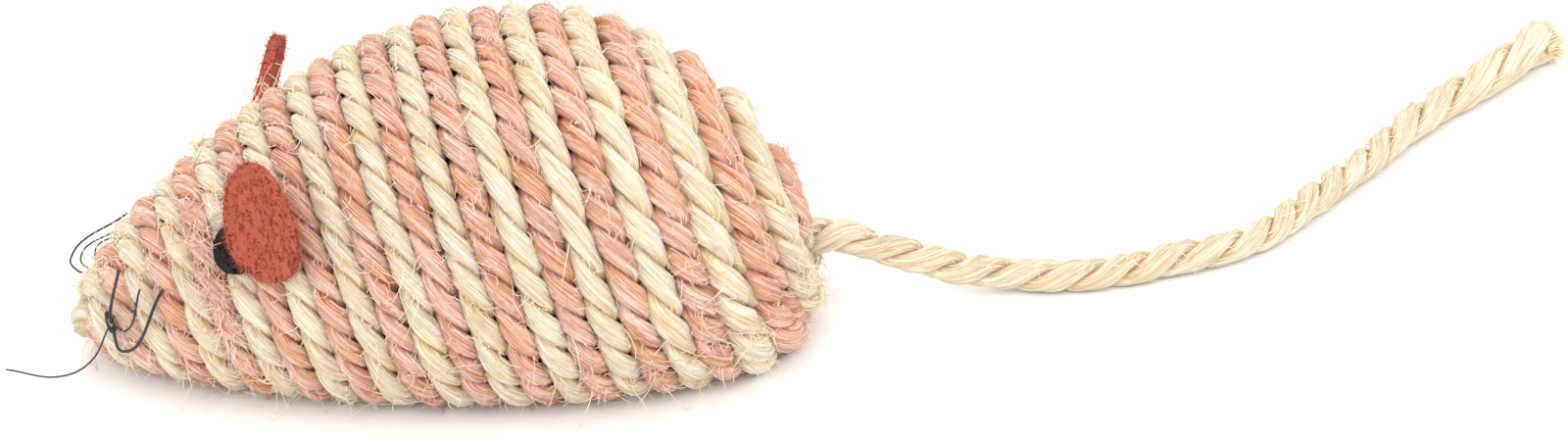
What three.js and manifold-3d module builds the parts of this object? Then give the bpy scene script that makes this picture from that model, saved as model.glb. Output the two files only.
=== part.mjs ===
// Catnip mouse: a hollow core, filled with catnip and wound from nose to rump with two sisal cords laid
// side by side, with felt ears and eyes, thread whiskers and a sisal tail.
// Millimetres, +Z up, nose towards -X. The mouse's left side faces -Y.
import * as THREE from 'three';
import { mergeVertices } from 'three/addons/utils/BufferGeometryUtils.js';
import Module from 'manifold-3d';

const wasm = await Module();
wasm.setup();

// The form on which the middles of both cords lie
const formLength = 95.8; // nose pole to rump pole, along the winding axis
const formHalfHeight = 28.8;
const formHalfWidth = 26.1;
const noseHeight = 5.4; // nose pole above the floor
const rumpDropShare = 0.1587; // how far the rump hangs below the winding axis, as a share of the length
const bellyRounding = 10.5; // turns the flanks into the flat belly
const axisTilt = THREE.MathUtils.degToRad(13.2); // the winding axis rises towards the tail
const fullestShare = 0.62; // place of the fullest ring along the form
const noseBluntShare = 0.37;
const foreSlopeShare = 0.362;
const rumpRoundShare = 0.584;
const rumpBluntShare = 0.73;

// Sisal cords
const cordDiameter = 3.6; // across the corners of the six-sided cord
const cordGap = 0.65; // between neighbouring turns where they lie tightest
const cordSides = 6;
const cordSteps = 24; // steps in each turn
const bellyCut = cordDiameter / 10; // depth of the flats on which the mouse rests
const endGap = 1.1; // between a cord's end and the nose pole, and beside the tail
const noseOffset = cordDiameter / 2 + endGap; // from the nose pole to the cords' first ends
const firstEndAngle = THREE.MathUtils.degToRad(205); // where on the nose the natural cord starts

// Core and filling
const coreClearance = 0.75; // under the faceted turns
const coreWall = 1.6;
const seamGap = 0.3;
const lipWall = 1;
const lipReach = 2;
const lipClearance = 0.3;
const noseHoleDiameter = 5;
const fillingClearance = 0.5;
const fillingTopShare = 1.076; // level of the loose leaf above the floor, as a share of the half height

// Tail
const tailDiameter = 4.5;
const tailClearance = 0.3;
const tailSides = 10;
const tailStep = tailDiameter * 2.2;
const knotRadius = 3.8;
const knotWraps = 3;
const knotClearance = 0.5; // from the knot to the faceted wall of the core
const tailSwingLevel = cordDiameter / 2 + tailClearance; // root of the free tail above the cords' middles
const tailRoute = [ // the free tail from its root, relative to the root and the floor under it
  [0, 0, 13.9],
  [4.5, 0, 12.1],
  [9, 0.3, 9.9],
  [13.5, 0.8, 7.9],
  [18, 1.3, 6.1],
  [22.5, 1.8, 4.3],
  [27.5, 2.2, 2.9],
  [33, 1.8, 2.35],
  [39, 1.5, 2.35],
  [46, 2.3, 2.35],
  [53, 4.1, 2.35],
  [60, 6.2, 2.35],
  [67, 10.4, 2.35],
  [73, 16.3, 2.35],
  [79, 22.6, 2.35],
  [85, 28.5, 2.35],
  [91, 35.2, 2.35],
  [98, 42.2, 2.35],
  [105, 48.1, 2.35],
  [112, 54.5, 2.35],
  [118, 59.3, 2.35],
];

// Felt ears
const earLength = 17.4;
const earWidth = 10.1;
const feltThickness = 1.7;
const feltRounding = 0.35;
const earWidestShare = 0.36; // height of the widest place above the glued end
const leftEarLift = 2.1; // glued end's middle above the cords' crests
const rightEarLift = 3.1; // the right ear stands on its front edge, by which it is glued
const leftPadDistance = 2.3; // from the glued end to the glue pad
const rightPadDistance = 3.7;

// Felt eyes
const eyeDiameter = 6.7;
const eyeThickness = 1.3;
const eyeRimShare = 0.55; // upright part of the rim
const leftEyeDistance = 7.03; // from the ear's glued end to the middle of the eye
const rightEyeDistance = 6.6;

// Hot glue
const earPadDiameter = 4.4;
const earPadThickness = 0.45;
const eyeBeadDiameter = 2.6;
const eyeBeadThickness = 0.9;
const padRimShare = 0.3;
const beadRimShare = 0.2;
const seatGap = 0.3;

// Thread whiskers
const threadDiameter = 0.5;
const whiskerLength = 10;
const whiskerKnotDiameter = 1.8;
const leftKnotSink = 0.75; // the left knot lies in the groove between two turns
const threadSides = 6;
const threadSteps = 8;

// Places on the form, as a share of the way from nose to rump and an angle above the flank
const eyeBeadAngle = 112; // direction from the eye to its bead, from the tail side upwards
const whiskerPlaces = {
  left: { share: 0.118, angle: 23, sink: leftKnotSink },
  right: { share: 0.109, angle: 4.5, sink: 0 },
};

// Each ear leans towards the nose, tips away from the head and turns its front edge outwards, in degrees.
// Its eye and its pad lie towards a direction counted from the tail side upwards.
const ears = {
  left: { share: 0.301, angle: 26.6, lift: leftEarLift, lean: -15.5, tip: 18.4, twist: -10 },
  right: { share: 0.288, angle: 12.6, lift: rightEarLift, lean: -43.5, tip: 19.6, twist: -46 },
};
const eyes = {
  left: { distance: leftEyeDistance, towards: 130 },
  right: { distance: rightEyeDistance, towards: 132 },
};
const earPads = {
  left: { distance: leftPadDistance, towards: 40 },
  right: { distance: rightPadDistance, towards: 74 },
};

// Bends and tips of the whiskers as shares of the whisker length: back, out, up
const leftWhiskerShares = [
  [[0.02, 0.25, 0.4], [0.16, 0.15, 0.92]],
  [[0.2, 0.24, 0.02], [0.42, 0.3, 0.68]],
  [[0.14, 0.34, -0.24], [0.72, 0.42, 0.72]],
  [[-0.3, 0.36, -0.36], [-0.68, 0.48, -0.48], [-1.42, 0.55, -0.28]],
];
const rightWhiskerShares = [
  [[-0.4, 0.34, -0.06], [-0.46, 0.5, 0.02], [0.36, 0.8, 0.52]],
  [[-0.32, 0.36, 0.1], [0.28, 0.64, 0.4]],
  [[-0.1, 0.36, 0.24], [0.26, 0.5, 0.36]],
];

const finishes = {
  natural: new THREE.MeshStandardMaterial({ color: 0xe6d6a8, roughness: 0.9, metalness: 0 }),
  pink: new THREE.MeshStandardMaterial({ color: 0xd79c82, roughness: 0.9, metalness: 0 }),
  felt: new THREE.MeshStandardMaterial({ color: 0xb9493c, roughness: 1, metalness: 0 }),
  blackFelt: new THREE.MeshStandardMaterial({ color: 0x1f1d1b, roughness: 1, metalness: 0 }),
  thread: new THREE.MeshStandardMaterial({ color: 0x191919, roughness: 0.7, metalness: 0 }),
  glue: new THREE.MeshStandardMaterial({ color: 0xe8e2d2, roughness: 0.25, metalness: 0 }),
  core: new THREE.MeshStandardMaterial({ color: 0xd8d5cc, roughness: 0.5, metalness: 0 }),
  catnip: new THREE.MeshStandardMaterial({ color: 0x6f7a46, roughness: 1, metalness: 0 }),
};

// Fineness of the faceted pieces
const roomAngles = 36;
const roomSamples = 200;
const coreRings = 22;
const coreSides = 24;
const boreSides = 16;
const knotSides = 12;
const domeSides = 16;
const domeBends = 5;
const earSegments = 12;

// Small helpers
const radians = THREE.MathUtils.degToRad;
const axisAlong = new THREE.Vector3(Math.cos(axisTilt), 0, Math.sin(axisTilt));
const axisUp = new THREE.Vector3(-Math.sin(axisTilt), 0, Math.cos(axisTilt));
const tailAlong = new THREE.Vector3(1, 0, 0); // the tail leaves the rump level
const rumpDrop = rumpDropShare * formLength;
const fillingTop = fillingTopShare * formHalfHeight;
const cordRadius = cordDiameter / 2;
const cordWidth = cordDiameter * Math.cos(Math.PI / cordSides); // between the flats that face a neighbour
const tailRadius = tailDiameter / 2;
const whole = formLength + formHalfHeight + formHalfWidth; // larger than the mouse, for cutting boxes

function solidOf(geometry) {
  const plain = geometry.index ? geometry : geometry.clone();
  plain.deleteAttribute('normal');
  plain.deleteAttribute('uv');
  const merged = mergeVertices(plain);
  return new wasm.Manifold(new wasm.Mesh({
    numProp: 3,
    vertProperties: new Float32Array(merged.attributes.position.array),
    triVerts: new Uint32Array(merged.index.array),
  }));
}

function geometryOf(solid) {
  const mesh = solid.getMesh();
  const geometry = new THREE.BufferGeometry();
  geometry.setAttribute('position', new THREE.BufferAttribute(mesh.vertProperties, 3));
  geometry.setIndex(new THREE.BufferAttribute(mesh.triVerts, 1));
  return geometry;
}

function boxBetween(low, high) {
  const geometry = new THREE.BoxGeometry(high[0] - low[0], high[1] - low[1], high[2] - low[2]);
  geometry.translate((low[0] + high[0]) / 2, (low[1] + high[1]) / 2, (low[2] + high[2]) / 2);
  return solidOf(geometry);
}

// The mouse's form. Its half outline is two curves that meet at the fullest ring, in shares of its size.
const foreCurve = new THREE.CubicBezierCurve(
  new THREE.Vector2(0, 0),
  new THREE.Vector2(0, noseBluntShare),
  new THREE.Vector2(fullestShare * (1 - foreSlopeShare), 1),
  new THREE.Vector2(fullestShare, 1),
);
const rumpCurve = new THREE.CubicBezierCurve(
  new THREE.Vector2(fullestShare, 1),
  new THREE.Vector2(fullestShare + rumpRoundShare * (1 - fullestShare), 1),
  new THREE.Vector2(1, rumpBluntShare),
  new THREE.Vector2(1, 0),
);

// Heights below the belly level are turned into the flat belly along a smooth arc
function settle(height, level) {
  const depth = height - level;
  if (depth >= bellyRounding) return height;
  if (depth <= -bellyRounding) return level;
  return level + (depth + bellyRounding) ** 2 / (4 * bellyRounding);
}

// A point of the form, or of a form inside it by the inset. The angle goes up from the left flank.
function formPoint(inset, share, angle) {
  const outline = share < 0.5 ? foreCurve.getPoint(share * 2) : rumpCurve.getPoint(share * 2 - 1);
  const above = outline.y * (formHalfHeight - inset) * Math.sin(angle);
  const rise = above - rumpDrop * outline.x ** 4;
  const along = inset + outline.x * (formLength - 2 * inset);
  const point = new THREE.Vector3(0, -outline.y * (formHalfWidth - inset) * Math.cos(angle), noseHeight);
  point.addScaledVector(axisAlong, along).addScaledVector(axisUp, rise);
  point.z = settle(point.z, cordRadius - bellyCut + inset);
  return point;
}

const fineStep = 0.001; // step for slopes, in shares of the length and in radians
function formNormal(share, angle) {
  const step = fineStep;
  const along = formPoint(0, share + step, angle).sub(formPoint(0, share - step, angle));
  const around = formPoint(0, share, angle + step).sub(formPoint(0, share, angle - step));
  return along.cross(around).normalize();
}

// A frame on the cords' crests: out of the surface, up round the ring, and back towards the tail
function crestFrame(place, side, lift) {
  const angle = side > 0 ? Math.PI - radians(place.angle) : radians(place.angle);
  const out = formNormal(place.share, angle);
  const up = formPoint(0, place.share, angle - side * fineStep).sub(formPoint(0, place.share, angle));
  up.addScaledVector(out, -up.dot(out)).normalize();
  const back = new THREE.Vector3().crossVectors(up, out).multiplyScalar(-side);
  const origin = formPoint(0, place.share, angle).addScaledVector(out, cordRadius + lift);
  return { origin, out, up, back };
}

// How closely two rings a small step apart lie, at the angle where they lie closest
function ringSpacing(share, step) {
  let closest = Infinity;
  for (let k = 0; k < roomAngles; k += 1) {
    const angle = 2 * Math.PI * k / roomAngles;
    const along = formPoint(0, share + step, angle).sub(formPoint(0, share - step, angle));
    const around = formPoint(0, share, angle + step).sub(formPoint(0, share, angle - step)).normalize();
    closest = Math.min(closest, along.cross(around).length());
  }
  return closest / (2 * step);
}

// The room for turns side by side from the nose pole on, which the rings' closest places decide
const room = [0];
for (let i = 0; i < roomSamples; i += 1) {
  const halfStep = 0.5 / roomSamples;
  room.push(room[i] + ringSpacing((i + 0.5) / roomSamples, halfStep) / roomSamples);
}
const wholeRoom = room[roomSamples];

function shareAtRoom(distance) {
  let i = 1;
  while (i < roomSamples && room[i] < distance) i += 1;
  return (i - 1 + (distance - room[i - 1]) / (room[i] - room[i - 1])) / roomSamples;
}

// The cord leaves a straight start beside the pole where the straight line climbs as fast as the spiral
const pitch = cordWidth + cordGap; // from a turn to its neighbour of the other colour
const climb = pitch / Math.PI; // two cords, so two pitches in a whole turn
function joinAngle(offset) {
  const steepness = climb / offset;
  return Math.asin((Math.sqrt(1 + 4 * steepness ** 2) - 1) / (2 * steepness));
}
const tailOffset = tailRadius + endGap + cordRadius; // from the tail's middle to the cords' last ends
const noseJoin = joinAngle(noseOffset);
const tailJoin = joinAngle(tailOffset);
const noseRun = noseOffset / Math.cos(noseJoin);
const tailRun = tailOffset / Math.cos(tailJoin);

const spiralAngle = (wholeRoom - noseRun - tailRun) / climb;
const windingAngle = noseJoin + spiralAngle + tailJoin;

function cordDistance(turned) {
  if (turned < noseJoin) return noseOffset / Math.cos(turned);
  if (turned > noseJoin + spiralAngle) return wholeRoom - tailOffset / Math.cos(windingAngle - turned);
  return noseRun + climb * (turned - noseJoin);
}

// The middles of a cord and the directions out of the mouse there
function cordRoute(startAngle) {
  const steps = Math.ceil(windingAngle / (2 * Math.PI) * cordSteps);
  const route = [];
  for (let i = 0; i <= steps; i += 1) {
    const turned = windingAngle * i / steps;
    const angle = startAngle - turned;
    const share = shareAtRoom(cordDistance(turned));
    route.push({ middle: formPoint(0, share, angle), out: formNormal(share, angle) });
  }
  return route;
}

// One unbroken tube with a corner of its section on the crest and a flat towards each neighbour
function cordGeometry(route) {
  const positions = [];
  const faces = [];
  const tangent = new THREE.Vector3();
  route.forEach(({ middle, out }, i) => {
    const before = route[Math.max(i - 1, 0)].middle;
    const after = route[Math.min(i + 1, route.length - 1)].middle;
    tangent.subVectors(after, before).normalize();
    const up = out.clone().addScaledVector(tangent, -out.dot(tangent)).normalize();
    const across = new THREE.Vector3().crossVectors(tangent, up);
    for (let k = 0; k < cordSides; k += 1) {
      const turn = 2 * Math.PI * k / cordSides;
      const corner = middle.clone()
        .addScaledVector(up, cordRadius * Math.cos(turn))
        .addScaledVector(across, cordRadius * Math.sin(turn));
      positions.push(...corner);
    }
  });
  for (let i = 0; i < route.length - 1; i += 1) {
    for (let k = 0; k < cordSides; k += 1) {
      const a = i * cordSides + k;
      const b = i * cordSides + (k + 1) % cordSides;
      faces.push(a, b, b + cordSides, a, b + cordSides, a + cordSides);
    }
  }
  const lastRing = (route.length - 1) * cordSides;
  for (let k = 1; k < cordSides - 1; k += 1) {
    faces.push(0, k + 1, k, lastRing, lastRing + k, lastRing + k + 1);
  }
  const geometry = new THREE.BufferGeometry();
  geometry.setAttribute('position', new THREE.Float32BufferAttribute(positions, 3));
  geometry.setIndex(faces);
  return geometry;
}

// Least distance between the middles of two routes, or of one route and itself at least half a turn on
function leastSpacing(first, second) {
  let least = Infinity;
  first.forEach((a, i) => second.forEach((b, k) => {
    if (first === second && Math.abs(i - k) < cordSteps / 2) return;
    least = Math.min(least, a.middle.distanceTo(b.middle));
  }));
  return least;
}

function winding(route) {
  const below = boxBetween([-whole, -whole, -whole], [2 * whole, whole, 0]);
  return geometryOf(solidOf(cordGeometry(route)).subtract(below));
}

// A closed skin round the form at an inset
function formSolid(inset) {
  const rings = coreRings;
  const sides = coreSides;
  const positions = [...formPoint(inset, 0, 0)];
  const faces = [];
  for (let i = 1; i < rings; i += 1) {
    const share = (1 - Math.cos(Math.PI * i / rings)) / 2;
    for (let k = 0; k < sides; k += 1) positions.push(...formPoint(inset, share, 2 * Math.PI * k / sides));
  }
  positions.push(...formPoint(inset, 1, 0));
  const pole = positions.length / 3 - 1;
  for (let k = 0; k < sides; k += 1) {
    const next = (k + 1) % sides;
    faces.push(0, 1 + k, 1 + next);
    for (let i = 0; i < rings - 2; i += 1) {
      const a = 1 + i * sides + k;
      const b = 1 + i * sides + next;
      faces.push(a, a + sides, b + sides, a, b + sides, b);
    }
    faces.push(pole, pole - sides + next, pole - sides + k);
  }
  const geometry = new THREE.BufferGeometry();
  geometry.setAttribute('position', new THREE.Float32BufferAttribute(positions, 3));
  geometry.setIndex(faces);
  return solidOf(geometry);
}

// Poles and the tail's line through the rump
const nosePole = formPoint(0, 0, 0);
const rumpPole = formPoint(0, 1, 0);
const tailRoot = rumpPole.clone().addScaledVector(tailAlong, tailSwingLevel);

// A geometry made along +Y, laid with its origin at a point and its +Y along a direction
function layAlong(geometry, direction, origin) {
  const turn = new THREE.Quaternion().setFromUnitVectors(new THREE.Vector3(0, 1, 0), direction);
  return geometry.applyQuaternion(turn).translate(origin.x, origin.y, origin.z);
}

function boreSolid(diameter, depth, direction, origin) {
  const drill = new THREE.CylinderGeometry(diameter / 2, diameter / 2, 2 * depth, boreSides);
  return solidOf(layAlong(drill, direction, origin));
}

// The core: two thin halves that meet on the middle plane, the left one with a lip inside the right one
const coreInset = cordRadius + coreClearance;
const cavityInset = coreInset + coreWall;

// Depth behind the rump pole from which the cavity has room for the knot all round
function roomyDepth(radius) {
  let depth = cavityInset;
  for (let k = 0; k < roomAngles; k += 1) {
    const angle = 2 * Math.PI * k / roomAngles;
    let share = 1;
    let along = 0;
    let reach = 0;
    while (reach < radius) {
      share -= fineStep;
      const point = formPoint(cavityInset, share, angle).sub(rumpPole);
      along = point.dot(tailAlong);
      reach = point.addScaledVector(tailAlong, -along).length();
    }
    depth = Math.max(depth, -along);
  }
  return depth;
}
const knotDepth = roomyDepth(knotRadius + knotClearance) + tailClearance;
const knotStart = rumpPole.x - knotDepth - 2 * knotRadius - fillingClearance;

function slab(from, to) {
  return boxBetween([-whole, from, -whole], [2 * whole, to, whole]);
}

function coreShells() {
  const holeDepth = cavityInset + lipWall + coreWall;
  const noseHole = boreSolid(noseHoleDiameter, holeDepth, axisAlong, nosePole);
  const tailHole = boreSolid(tailDiameter + 2 * tailClearance, knotDepth, tailAlong, rumpPole);
  const cavity = formSolid(cavityInset);
  const shell = formSolid(coreInset).subtract(cavity).subtract(noseHole).subtract(tailHole);
  const lipBore = formSolid(cavityInset + lipWall);
  const lipSeat = formSolid(cavityInset - coreWall / 2);
  const lipRoot = lipSeat.subtract(lipBore).intersect(slab(-lipReach, -seamGap / 2));
  const lip = formSolid(cavityInset + lipClearance).subtract(lipBore).intersect(slab(-lipReach, lipReach));
  const beforeKnot = boxBetween([-whole, -whole, -whole], [knotStart, whole, whole]);
  const wholeLip = lipRoot.add(lip).subtract(noseHole).intersect(beforeKnot);
  const left = shell.intersect(slab(-whole, -seamGap / 2)).add(wholeLip);
  const right = shell.intersect(slab(seamGap / 2, whole));
  return { left, right };
}

function fillingSolid() {
  const level = boxBetween([-whole, -whole, -whole], [knotStart, whole, fillingTop]);
  return formSolid(cavityInset + lipWall + fillingClearance).intersect(level);
}

// The tail's end inside the core: a stopper knot of a few wraps behind the wall, and the cord out to the root
function tailAnchor() {
  const wallFace = -knotDepth;
  const knotBack = wallFace - 2 * knotRadius;
  const wrap = (wallFace - knotBack) / knotWraps;
  const waist = knotRadius - wrap / 3;
  const profile = [new THREE.Vector2(0, knotBack), new THREE.Vector2(tailRadius, knotBack)];
  for (let i = 0; i < knotWraps; i += 1) {
    const start = knotBack + i * wrap;
    profile.push(new THREE.Vector2(i > 0 ? waist : tailRadius + wrap / 3, start + wrap / 12));
    profile.push(new THREE.Vector2(knotRadius, start + wrap / 3));
    profile.push(new THREE.Vector2(knotRadius, start + wrap * 2 / 3));
  }
  profile.push(new THREE.Vector2(tailRadius + wrap / 3, wallFace));
  profile.push(new THREE.Vector2(tailRadius, wallFace));
  profile.push(new THREE.Vector2(tailRadius, tailSwingLevel - tailRadius - tailClearance));
  profile.push(new THREE.Vector2(0, tailSwingLevel - tailRadius - tailClearance));
  return layAlong(new THREE.LatheGeometry(profile, knotSides), tailAlong, rumpPole);
}

class TailPath extends THREE.CatmullRomCurve3 {
  constructor() {
    const points = tailRoute.map(([x, y, z]) => new THREE.Vector3(tailRoot.x + x, tailRoot.y + y, z));
    points[0].z = tailRoot.z;
    super(points, false, 'centripetal');
  }
}

function ringShape(radius, sides) {
  const corners = [];
  for (let k = 0; k < sides; k += 1) {
    const turn = 2 * Math.PI * (k + 0.5) / sides;
    corners.push(new THREE.Vector2(radius * Math.cos(turn), radius * Math.sin(turn)));
  }
  return new THREE.Shape(corners);
}

function tubeAlong(path, radius, sides, steps) {
  const options = { steps, extrudePath: path, bevelEnabled: false };
  return new THREE.ExtrudeGeometry(ringShape(radius, sides), options);
}

function tailGeometry() {
  const path = new TailPath();
  const tube = tubeAlong(path, tailRadius, tailSides, Math.round(path.getLength() / tailStep));
  const end = new THREE.SphereGeometry(tailRadius, tailSides, tailSides / 2 + 1);
  end.translate(tailRoot.x, tailRoot.y, tailRoot.z);
  return geometryOf(solidOf(tube).add(solidOf(end)));
}

// An ear: an egg-shaped felt disc, glued at its wide end, in a frame that leans, tips and twists
function earGeometry() {
  const middle = earLength * earWidestShare;
  const shape = new THREE.Shape();
  const half = earWidth / 2 - feltRounding;
  shape.absellipse(0, middle, half, middle - feltRounding, Math.PI, 2 * Math.PI, false, 0);
  shape.absellipse(0, middle, half, earLength - middle - feltRounding, 0, Math.PI, false, 0);
  const felt = new THREE.ExtrudeGeometry(shape, {
    depth: feltThickness - 2 * feltRounding,
    bevelThickness: feltRounding,
    bevelSize: feltRounding,
    bevelSegments: 1,
    curveSegments: earSegments,
  });
  return felt.translate(0, 0, feltRounding - feltThickness / 2);
}

function placeEar(mesh, side, ear) {
  const { origin, out, up, back } = crestFrame(ear, side, ear.lift);
  const right = back.clone().multiplyScalar(-side);
  const base = new THREE.Matrix4().makeBasis(right, up, out);
  mesh.quaternion.setFromRotationMatrix(base);
  mesh.rotateZ(radians(ear.lean) * -side);
  mesh.rotateX(radians(ear.tip));
  mesh.rotateY(radians(ear.twist) * -side);
  mesh.position.copy(origin);
}

// A shallow dome on a flat back, its back at the origin and its crown along +Z
function domeGeometry(diameter, thickness, rimShare) {
  const rim = thickness * rimShare;
  const profile = [new THREE.Vector2(0, 0), new THREE.Vector2(diameter / 2, 0)];
  for (let i = 0; i < domeBends; i += 1) {
    const turn = Math.PI / 2 * i / domeBends;
    profile.push(new THREE.Vector2(diameter / 2 * Math.cos(turn), rim + (thickness - rim) * Math.sin(turn)));
  }
  profile.push(new THREE.Vector2(0, thickness));
  return new THREE.LatheGeometry(profile, domeSides).rotateX(Math.PI / 2);
}

function seatOn(mesh, frame) {
  const right = new THREE.Vector3().crossVectors(frame.up, frame.out);
  mesh.quaternion.setFromRotationMatrix(new THREE.Matrix4().makeBasis(right, frame.up, frame.out));
  mesh.position.copy(frame.origin);
}

// The place beside another place, at a distance along the surface in a direction from the tail side upwards
function placeBeside(place, side, distance, direction) {
  const frame = crestFrame(place, side, 0);
  const step = fineStep;
  const perShare = crestFrame({ share: place.share + step, angle: place.angle }, side, 0).origin
    .distanceTo(frame.origin) / step;
  const perDegree = crestFrame({ share: place.share, angle: place.angle + 1 }, side, 0).origin
    .distanceTo(frame.origin);
  return {
    share: place.share + distance * Math.cos(radians(direction)) / perShare,
    angle: place.angle + distance * Math.sin(radians(direction)) / perDegree,
  };
}

// A whisker from just outside its knot, through its bends to its tip
function whiskerGeometry(frame, shares) {
  const sizeUp = new THREE.Vector3(0, 0, 1);
  const sizeOut = new THREE.Vector3(0, Math.sign(frame.origin.y), 0);
  const sizeBack = new THREE.Vector3(1, 0, 0);
  const points = shares.map(([back, out, up]) => frame.origin.clone()
    .addScaledVector(sizeBack, back * whiskerLength)
    .addScaledVector(sizeOut, out * whiskerLength)
    .addScaledVector(sizeUp, up * whiskerLength));
  const start = points[0].clone().sub(frame.origin).normalize();
  start.multiplyScalar(whiskerKnotDiameter / 2 + seatGap).add(frame.origin);
  const path = new THREE.CatmullRomCurve3([start, ...points], false, 'centripetal');
  return tubeAlong(path, threadDiameter / 2, threadSides, threadSteps);
}

// The mouse
const naturalRoute = cordRoute(firstEndAngle);
const pinkRoute = cordRoute(firstEndAngle + Math.PI);
console.log('turns of each cord', (windingAngle / (2 * Math.PI)).toFixed(2));
const naturalGap = leastSpacing(naturalRoute, naturalRoute) - cordDiameter;
const pinkGap = leastSpacing(pinkRoute, pinkRoute) - cordDiameter;
console.log('least gap of the natural cord to itself', naturalGap.toFixed(2));
console.log('least gap of the pink cord to itself', pinkGap.toFixed(2));
console.log('least gap between the cords', (leastSpacing(naturalRoute, pinkRoute) - cordWidth).toFixed(2));

const mouse = new THREE.Group();
const body = new THREE.Group();
mouse.add(body);

function addPiece(name, geometry, finish) {
  const mesh = new THREE.Mesh(geometry, finish);
  mesh.name = name;
  body.add(mesh);
  return mesh;
}

const shells = coreShells();
addPiece('core_shell_left', geometryOf(shells.left), finishes.core);
addPiece('core_shell_right', geometryOf(shells.right), finishes.core);
addPiece('catnip_filling', geometryOf(fillingSolid()), finishes.catnip);
addPiece('sisal_wrap_natural', winding(naturalRoute), finishes.natural);
addPiece('sisal_wrap_pink', winding(pinkRoute), finishes.pink);
addPiece('tail_knot', tailAnchor(), finishes.natural);

for (const [name, side] of [['left', -1], ['right', 1]]) {
  placeEar(addPiece(`ear_${name}`, earGeometry(), finishes.felt), side, ears[name]);
  const padPlace = placeBeside(ears[name], side, earPads[name].distance, earPads[name].towards);
  const film = domeGeometry(earPadDiameter, earPadThickness, padRimShare);
  seatOn(addPiece(`glue_ear_${name}`, film, finishes.glue), crestFrame(padPlace, side, seatGap));
  const eyePlace = placeBeside(ears[name], side, eyes[name].distance, eyes[name].towards);
  const disc = domeGeometry(eyeDiameter, eyeThickness, eyeRimShare);
  seatOn(addPiece(`eye_${name}`, disc, finishes.blackFelt), crestFrame(eyePlace, side, seatGap));
  const beadPlace = placeBeside(eyePlace, side, (eyeDiameter + eyeBeadDiameter) / 2 + seatGap, eyeBeadAngle);
  const drop = domeGeometry(eyeBeadDiameter, eyeBeadThickness, beadRimShare);
  seatOn(addPiece(`glue_eye_${name}`, drop, finishes.glue), crestFrame(beadPlace, side, seatGap));
}

for (const [name, side, shares] of [['left', -1, leftWhiskerShares], ['right', 1, rightWhiskerShares]]) {
  const place = whiskerPlaces[name];
  const frame = crestFrame(place, side, seatGap + whiskerKnotDiameter / 2 - place.sink);
  const knot = new THREE.IcosahedronGeometry(whiskerKnotDiameter / 2, 1);
  knot.translate(frame.origin.x, frame.origin.y, frame.origin.z);
  addPiece(`whisker_knot_${name}`, knot, finishes.thread);
  shares.forEach((bends, i) => {
    addPiece(`whisker_${name}_${i + 1}`, whiskerGeometry(frame, bends), finishes.thread);
  });
}

// The origin is on the floor under the middle of everything but the tail
const extent = new THREE.Box3().setFromObject(mouse, true);
const middle = extent.getCenter(new THREE.Vector3());
addPiece('tail', tailGeometry(), finishes.natural);
body.position.set(-middle.x, -middle.y, 0);
function printPlace(label, point) {
  console.log(label, point.toArray().map((value) => value.toFixed(4)).join(' '));
}
printPlace('tail root', tailRoot.clone().add(body.position));
const leftHinge = crestFrame(ears.left, -1, ears.left.lift);
printPlace('left ear hinge', leftHinge.origin.add(body.position));
printPlace('left ear hinge axis', leftHinge.back);
const rightEar = mouse.getObjectByName('ear_right');
rightEar.updateMatrixWorld(true);
const gluedEdge = new THREE.Vector3(earWidth / 2, earLength * earWidestShare, 0);
printPlace('right ear edge', rightEar.localToWorld(gluedEdge));
printPlace('right ear edge axis', new THREE.Vector3(0, 1, 0).transformDirection(rightEar.matrixWorld));

export default mouse;
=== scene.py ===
import random
from math import asin, ceil, cos, pi, radians, sin, sqrt

import bmesh
import bpy
from mathutils import Matrix, Vector, noise


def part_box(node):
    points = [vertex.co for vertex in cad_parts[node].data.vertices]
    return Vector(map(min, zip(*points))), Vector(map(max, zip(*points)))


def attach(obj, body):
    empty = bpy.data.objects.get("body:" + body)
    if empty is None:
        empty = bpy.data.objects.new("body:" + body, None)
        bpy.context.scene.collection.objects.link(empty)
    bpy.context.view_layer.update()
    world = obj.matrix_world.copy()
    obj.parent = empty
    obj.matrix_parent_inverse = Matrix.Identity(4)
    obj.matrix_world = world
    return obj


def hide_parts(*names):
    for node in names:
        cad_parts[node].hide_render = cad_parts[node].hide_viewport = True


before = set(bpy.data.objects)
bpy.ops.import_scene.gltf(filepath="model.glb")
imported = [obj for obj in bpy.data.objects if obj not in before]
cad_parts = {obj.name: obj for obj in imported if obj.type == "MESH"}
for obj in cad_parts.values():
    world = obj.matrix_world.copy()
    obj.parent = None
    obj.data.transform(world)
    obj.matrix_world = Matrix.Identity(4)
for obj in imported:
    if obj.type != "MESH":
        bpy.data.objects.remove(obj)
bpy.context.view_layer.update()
print("frame loaded:", len(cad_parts), "CAD nodes")


def newObject(name, data):
    obj = bpy.data.objects.new(name, data)
    bpy.context.scene.collection.objects.link(obj)
    return obj


# The camera

view = {
    "azimuth": -7, "elevation": 30, "distance": 0.8,
    "frameWidth": 0.216,  # what the picture spans at the mouse
    "aimRight": 0.05126,  # the picture's middle, from the mouse's origin
    "aimUp": 0.01497,
    "sensorWidth": 36, "clip": (0.01, 20),
}


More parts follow.
